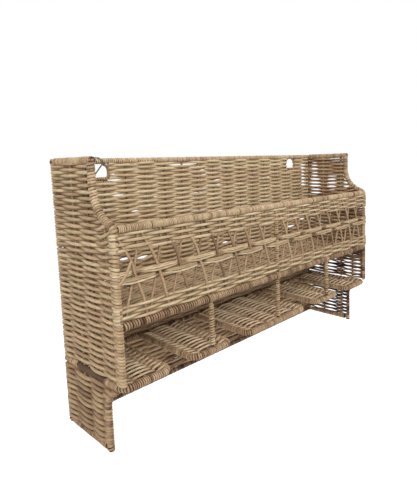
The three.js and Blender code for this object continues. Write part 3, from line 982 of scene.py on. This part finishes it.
# %% Legs
leg_pitch = 3.7 * mm
leg_weavers = {"left": 5.3 * mm, "right": weaver}
leg_darker = 0.13
foot_binding = 10 * mm
foot_thickness = 2 * swing + weaver
open_leg = {"left": [], "right": [(26, 10, 86, 11, 0.4), (70, 10, 86, 14, 0.4), (98, 10, 86, 6, 0.4)]}
for side, hand in hands:
    zones = in_metres(open_leg[side])
    routes = [leg_row(side, hand, row, rise, zones)
              for row, rise in enumerate(rows_between(foot + 2 * rod_radius, leg_top, leg_pitch))]
    hidden = [f"leg_weave_{side}", f"leg_rod_{side}", f"back_post_lower_{side}"]
    # The rows take painted shade deep in the sheet.
    lay_strands(f"leg_weave_{side}_rows", routes, leg_weavers[side], "woven_cane", hidden,
                tone=low_tones[side] - leg_darker, sheet=plane_at(x_axis, hand * side_x))
    for place, y in (("front", -leg_front), ("back", back_y)):
        ends = [(hand * side_x, y, foot), (hand * side_x, y, foot + foot_binding)]
        wind_rod(f"leg_{side}_{place}_foot_binding", ends, foot_thickness, "bound_rod", [], 0.6)
    rod = [(hand * side_x, -leg_reach(z), z) for z in np.linspace(foot, leg_top - 4 * mm, 16)]
    ribs = [[(hand * side_x, -y, foot), (hand * side_x, -y, leg_top)] for y in side_stakes[side][:3]]
    lay_strands(f"leg_stakes_{side}", [*ribs, rod], stake, "woven_cane", hidden, tone=rib_tone)

# %% [markdown]
# ## The floor of the trough and the slats
#
# The floor is a woven sheet whose rows run along the shelf. It is seen at a flat angle, so a row that
# waved evenly would hide the next, and each is laid level over a stake, with a steep dive beside it.

# %% Helper: a row of a lying sheet
lying_swing = 3 * mm
lying_slim = 0.93
lying_rib = 3 * mm


def flat_row(places, stakes, row, y, z, dive):
    out = steepened(passing(places, stakes, row), dive)
    return np.c_[places, y + sag(places, y * 3), z + lying_swing * out, swollen(out, lying_slim)]


# %% Floor of the trough
floor_low, floor_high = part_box("trough_floor_weave")
floor_z = (floor_low.z + floor_high.z) / 2
floor_bays = 17
floor_pitch = 4.8 * mm
floor_weaver = 4.5 * mm
floor_dive = 0.45
floor_stakes = np.linspace(floor_low.x, floor_high.x, floor_bays + 1)
floor_places = np.linspace(floor_low.x, floor_high.x, floor_bays * per_bay)
routes = []
for row, y in enumerate(rows_between(floor_low.y, floor_high.y, floor_pitch)):
    routes += join_canes(flat_row(floor_places, floor_stakes, row, y, floor_z, floor_dive))
# Painted shade darkens the floor's canes deep in the sheet.
lay_strands("trough_floor_rows", routes, floor_weaver, "woven_cane", ["trough_floor_weave"], tone=0.72,
            sheet=plane_at(z_axis, floor_z), painted_shade_strength=0.42, hue=0.28)
ribs = [[(x, floor_low.y, floor_z), (x, floor_high.y, floor_z)] for x in floor_stakes[1:-1]]
lay_strands("trough_floor_stakes", ribs, lying_rib, "woven_cane", ["trough_floor_weave"], tone=rib_tone)

# %% [markdown]
# Each slat is woven inside its own bent rod, and the binding hides the ends of its rows. The canes are
# thin and lie apart, so dark gaps show between those on top. Painted shade is put a little below the middle
# of the sheet, on the canes that are seen through the gaps. The rows bow towards the front.

# %% Slats
slat_pitch = 4.75 * mm
slat_weaver = 3 * mm
slat_painted_shade = 1
slat_dive = 0.8
slat_bow = 3 * mm
slat_ribs = {
    "left": [-257],
    "middle_left": [-150],
    "centre": [-42, -5, 32.5],
    "middle_right": [150],
    "right": [256],
}
# The painted shade is darkest a little below the sheet's middle, on the canes seen through the gaps.
painted_shade_level = shelf_z - slat_weaver / 2
for slat in slats:
    low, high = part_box(f"slat_{slat}_rod")
    left = low.x + rod_radius
    right = high.x - rod_radius
    low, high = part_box(f"slat_{slat}_weave")
    stakes = [left, *[x * mm for x in slat_ribs[slat]], right]
    places = np.linspace(left, right, max(6, round((right - left) / side_bay * per_bay)))
    routes = []
    for row, y in enumerate(rows_between(low.y, high.y, slat_pitch)):
        route = flat_row(places, stakes, row, y, shelf_z, slat_dive)
        share = (places - left) / (right - left)
        route[:, 1] -= slat_bow * np.sin(pi * share) * (1 - abs(y - low.y) / (high.y - low.y)) - slat_bow / 2
        routes.append(route)
    hidden = [f"slat_{slat}_weave"]
    lay_strands(f"slat_{slat}_rows", routes, slat_weaver, "woven_cane", hidden, tone=0.92,
                sheet=plane_at(z_axis, painted_shade_level), painted_shade_strength=slat_painted_shade, hue=0.32)
    ribs = [[(x, low.y, shelf_z), (x, high.y, shelf_z)] for x in stakes[1:-1]]
    lay_strands(f"slat_{slat}_stakes", ribs, lying_rib, "woven_cane", hidden, tone=rib_tone)

# %% [markdown]
# ## The trellis
#
# Two sets of stakes lean against each other and cross half-way up. Each line below is one stake's
# course, as heights above the foot and shifts along the front, both in mm. Every stake is laid along
# it anew, with a wobble of its own, because copies would all be bent alike.

# %% Places in the trellis
crossings_per_side = 8
first_crossing = 0.88
last_crossing = 0.67
crossing_pitch = inner_half / (first_crossing + crossings_per_side - 1 + last_crossing)
crossings = sorted(hand * (i + first_crossing) * crossing_pitch
                   for hand in (-1, 1) for i in range(crossings_per_side))
first_place = crossings[0]
trellis_nodes = ["front_trellis_left", "front_trellis_right"]
left_leaning = [(282, -26), (266, -18), (262, -15.7), (254, -11.3), (245.5, -7.2), (236, -4), (228, -2),
                (219, 0.8), (211, 3.6), (202, 6.2), (194, 8.2), (190, 9.2), (177, 12)]
right_leaning = [(282, 4), (266, 3.2), (262, 3), (254, 2), (245.5, 0), (236, -2.4), (228, -4.5),
                 (219, -6.4), (211, -8.6), (202, -11), (194, -13.3), (190, -14.4), (177, -18)]


# %% Trellis stakes
top_band_foot = 265
bottom_band_top = 191
stake_wobble = 0.35 * mm


def trellis_stake(crossing, line, y):
    route = []
    for rise, shift in line:
        in_band = rise > top_band_foot or rise < bottom_band_top
        wobble = 0 if in_band else draw.normal(0, stake_wobble)
        route.append((crossing + shift * mm + wobble, front_y if in_band else y, foot + rise * mm))
    return route


front_stakes = [trellis_stake(c, left_leaning, front_y - 1.5 * mm) for c in crossings]
rear_stakes = [trellis_stake(c, right_leaning, front_y + 1.6 * mm) for c in crossings]
lay_strands("trellis_front_stakes", front_stakes, 3.7 * mm, "trellis_cane", trellis_nodes,
            tone=0.38, spread=0.08, hue=0.35)
lay_strands("trellis_rear_stakes", rear_stakes, 3.3 * mm, "trellis_cane", trellis_nodes,
            tone=0.36, spread=0.08, hue=0.35)

# %% [markdown]
# Above and below the open part are bands of plain weave, in which two crossing stakes count as one.
# Their canes are hooked round the corner posts, which ties the trellis to the sides.

# %% Helper: hook a strand round the corner posts
hook = 4.7 * mm
hook_turn = np.linspace(0.15 * pi, 0.95 * pi, 5)


def hooked(route):
    """The route with most of half a turn round the corner post added at both ends."""
    ends = []
    for hand, place in ((-1, route[0]), (1, route[-1])):
        ends.append([(hand * (side_x + hook * sin(a)), post_y - hook * cos(a), place[2], place[3])
                     for a in hook_turn])
    return np.array([*ends[0][::-1], *route, *ends[1]])


# %% Plain bands
band_weaver = 4 * mm
band_swing = 2.6 * mm
band_slim = 0.86
band_dive = 0.7
band_lift = 0.4 * mm
band_sag = 0.35
top_shift = 5.5
bottom_shift = 13.5
band_places = np.linspace(-side_x, side_x, 18 * per_bay)


def band_row(rise, first_in_front, shift):
    """A row of a plain band. It is in front at the first crossing, shifted by a little, or behind it."""
    passed = (band_places - first_place - shift * mm) / crossing_pitch + (0 if first_in_front else 1)
    out = steepened(np.cos(pi * passed), band_dive)
    level = foot + rise * mm
    z = level + band_sag * sag(band_places, level) + band_lift * out
    return hooked(np.c_[band_places, front_y - band_swing * out, z, swollen(out, band_slim)])


top_rows = [(279.4, True), (275.4, False), (271.4, True), (267.6, False), (263.8, True), (260.2, False)]
bottom_rows = [(191.8, True), (188.0, False), (184.2, True), (180.4, False), (176.8, True)]
routes = [strand for rise, front in top_rows for strand in join_canes(band_row(rise, front, top_shift))]
front_sheet = ((-side_x, front_y, -everywhere), (side_x, front_y, everywhere))
# The bands take painted shade deep in the sheet, where the rows cross.
lay_strands("trellis_top_band", routes, band_weaver, "trellis_cane", trellis_nodes, tone=0.76,
            sheet=front_sheet, painted_shade_strength=0.3)
routes = [strand for rise, front in bottom_rows for strand in join_canes(band_row(rise, front, bottom_shift))]
lay_strands("trellis_bottom_band", routes, band_weaver, "trellis_cane", trellis_nodes, tone=0.68,
            sheet=front_sheet, painted_shade_strength=0.3)

# %% [markdown]
# The middle band is two rows of bundles, each of three thin canes side by side. A bundle comes forward
# right beside one crossing, passes in front of the next, sags there, and dives again beside the one
# after, with its end turned up. At the left end a last stake is bent out to the corner post.

# %% Middle band
bundle_cane = 2.6 * mm
bundle_apart = 2.7 * mm
bundle_swing = 3.1 * mm
bundle_sag = 0.6 * mm
bundle_wave = 0.6
bundle_scatter = 0.2 * mm
bundle_squeeze = 0.3
end_upturn = 0.5 * mm
bundle_places = np.linspace(-side_x, side_x, 18 * 12)


def bundle(rise, in_front):
    """Its canes pass in front of the even crossings if in_front is 0, and of the odd ones if it is 1."""
    passed = (bundle_places - first_place) / crossing_pitch + in_front
    wave = np.cos(pi * passed)
    out = np.clip(4 * wave + 3.2, -1, 1)
    spread = 1 - bundle_squeeze * (1 - np.clip(wave + 0.4, 0, 1))
    turned = np.sin(pi * passed) * np.clip(wave, 0, 1)
    routes = []
    for beside in (-1, 0, 1):
        z = foot + rise * mm + beside * bundle_apart * spread - bundle_sag * np.clip(wave, -0.3, 1)
        z = z + end_upturn * turned
        z = z + bundle_wave * sag(bundle_places, z[0] + beside) + draw.normal(0, bundle_scatter)
        route = np.c_[bundle_places, front_y - bundle_swing * out, z, np.ones(len(z))]
        routes += join_canes(hooked(route))
    return routes


routes = [*bundle(232.6, 1), *bundle(224.2, 0)]
# The bundles take painted shade where they lie deep in the trellis.
lay_strands("trellis_bundles", routes, bundle_cane, "trellis_cane", trellis_nodes, tone=0.62,
            sheet=front_sheet, painted_shade_strength=0.42)
side_loop = [(-276, 248), (-278, 245), (-281, 239), (-284, 234), (-289, 227), (-294, 222.5), (-298, 220)]
loop_route = [(x * mm, front_y - 4 * mm, foot + rise * mm) for x, rise in side_loop]
lay_strands("trellis_end_loop", [loop_route], 3.8 * mm, "trellis_cane", trellis_nodes, tone=0.45)

# %% [markdown]
# ## The hanging wire
#
# A loop of old steel wire goes over the top rail and down through the left hole. It is laid like a
# strand of cane, which gives its round section and its bends at once. The nails keep the
# construction's shape and get the same finish: grey steel with small darker spots.

# %% Wire finish
spot_scale = 2500
steel = bpy.data.materials.new("old steel wire")
steel.use_nodes = True
tree = steel.node_tree
shader = tree.nodes["Principled BSDF"]
shader.inputs["Metallic"].default_value = 0.7
shader.inputs["Roughness"].default_value = 0.45
place = add_node(tree, "TexCoord")
spots = add_node(tree, "TexNoise", [("Scale", spot_scale)])
connect(place, "Object", spots, "Vector")
spot_ramp = add_node(tree, "ValToRGB")
spot_ramp.color_ramp.elements[0].color = (0.08, 0.07, 0.055, 1)
spot_ramp.color_ramp.elements[1].color = (0.3, 0.29, 0.26, 1)
connect(spots, "Fac", spot_ramp, "Fac")
connect(spot_ramp, "Color", shader, "Base Color")
finishes["steel_wire"] = steel

# %% Wire loop and nails
wire_thickness = 2.1 * mm
wire_loop = [(-236, 1.1, -13), (-238.5, 1.1, -4), (-239.5, 1.1, 4), (-238.5, -1.2, 9), (-235.5, -4.6, 10.2),
             (-231.5, -8, 9.4), (-229, -9.8, 6), (-228.4, -9.8, 0), (-230.9, -6.5, -5),
             (-233.3, -3.2, -10), (-235.6, 0, -14.6)]
lay_strands("hanger_wire_loop", [np.array(wire_loop) * mm], wire_thickness, "steel_wire", ["hanger_wire"],
            roundness=2)
for node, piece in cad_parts.items():
    if node.startswith("nail_"):
        piece.data.materials.clear()
        piece.data.materials.append(steel)

# %% [markdown]
# ## Light and floor
#
# The shelf is lit as in a studio, by a pale surround and two large soft lamps, a strong one at the
# upper left and a weak one at the right. The surround is white to the camera and pale to everything
# else, so the background is white and the colours of the cane keep their level.

# %% Surround
surround_light = 0.62
scene = bpy.context.scene
scene.view_settings.view_transform = "Standard"
world = bpy.data.worlds.new("studio")
scene.world = world
world.use_nodes = True
tree = world.node_tree
surround = tree.nodes["Background"]
surround.inputs["Color"].default_value = (1, 1, 1, 1)
surround.inputs["Strength"].default_value = surround_light
white = add_node(tree, "Background", [("Color", (1, 1, 1, 1)), ("Strength", 1)])
ray = add_node(tree, "LightPath")
seen = add_node(tree, "Math", operation="MAXIMUM")
connect(ray, "Is Camera Ray", seen, 0)
connect(ray, "Is Glossy Ray", seen, 1)
seen_through = add_node(tree, "Math", operation="MAXIMUM")
connect(seen, "Value", seen_through, 0)
connect(ray, "Is Transmission Ray", seen_through, 1)
mix = add_node(tree, "MixShader")
connect(seen_through, "Value", mix, "Fac")
connect(surround, "Background", mix, 1)
connect(white, "Background", mix, 2)
tree.links.new(mix.outputs["Shader"], tree.nodes["World Output"].inputs["Surface"])

# %% Lamps
def soft_lamp(place, aim, size, power):
    bpy.ops.object.light_add(type="AREA", location=place)
    lamp = bpy.context.object
    lamp.data.size = size
    lamp.data.energy = power
    lamp.rotation_euler = (Vector(aim) - Vector(place)).to_track_quat("-Z", "Y").to_euler()


lamp_size = 1.4
shelf_middle = (0, front_y / 2, trough_z)
soft_lamp((-1.3, -1.5, 1.3), shelf_middle, lamp_size, 42)
soft_lamp((1.2, -1.8, 0.6), shelf_middle, lamp_size, 10)
print("two lamps of", lamp_size, "m")

# %% [markdown]
# The shelf hangs on a wall, so the floor lies well below it and takes only a faint shadow. A plain
# pale floor would show its edge against the white, so it glows a little, to the camera alone.

# %% Floor
floor_drop = 0.5
floor_glow = 0.48
bpy.ops.object.select_all(action="DESELECT")
bpy.ops.mesh.primitive_plane_add(size=40, location=(0, 0, foot - floor_drop))
floor = bpy.context.object
floor.name = "studio_floor"
pale = bpy.data.materials.new("pale floor")
pale.use_nodes = True
tree = pale.node_tree
plain = tree.nodes["Principled BSDF"]
plain.inputs["Base Color"].default_value = (0.9, 0.9, 0.9, 1)
plain.inputs["Roughness"].default_value = 1
plain.inputs["Specular IOR Level"].default_value = 0
plain.inputs["Emission Color"].default_value = (1, 1, 1, 1)
ray = add_node(tree, "LightPath")
glow = add_node(tree, "Math", [(1, floor_glow)], operation="MULTIPLY")
connect(ray, "Is Camera Ray", glow, 0)
connect(glow, "Value", plain, "Emission Strength")
floor.data.materials.append(pale)
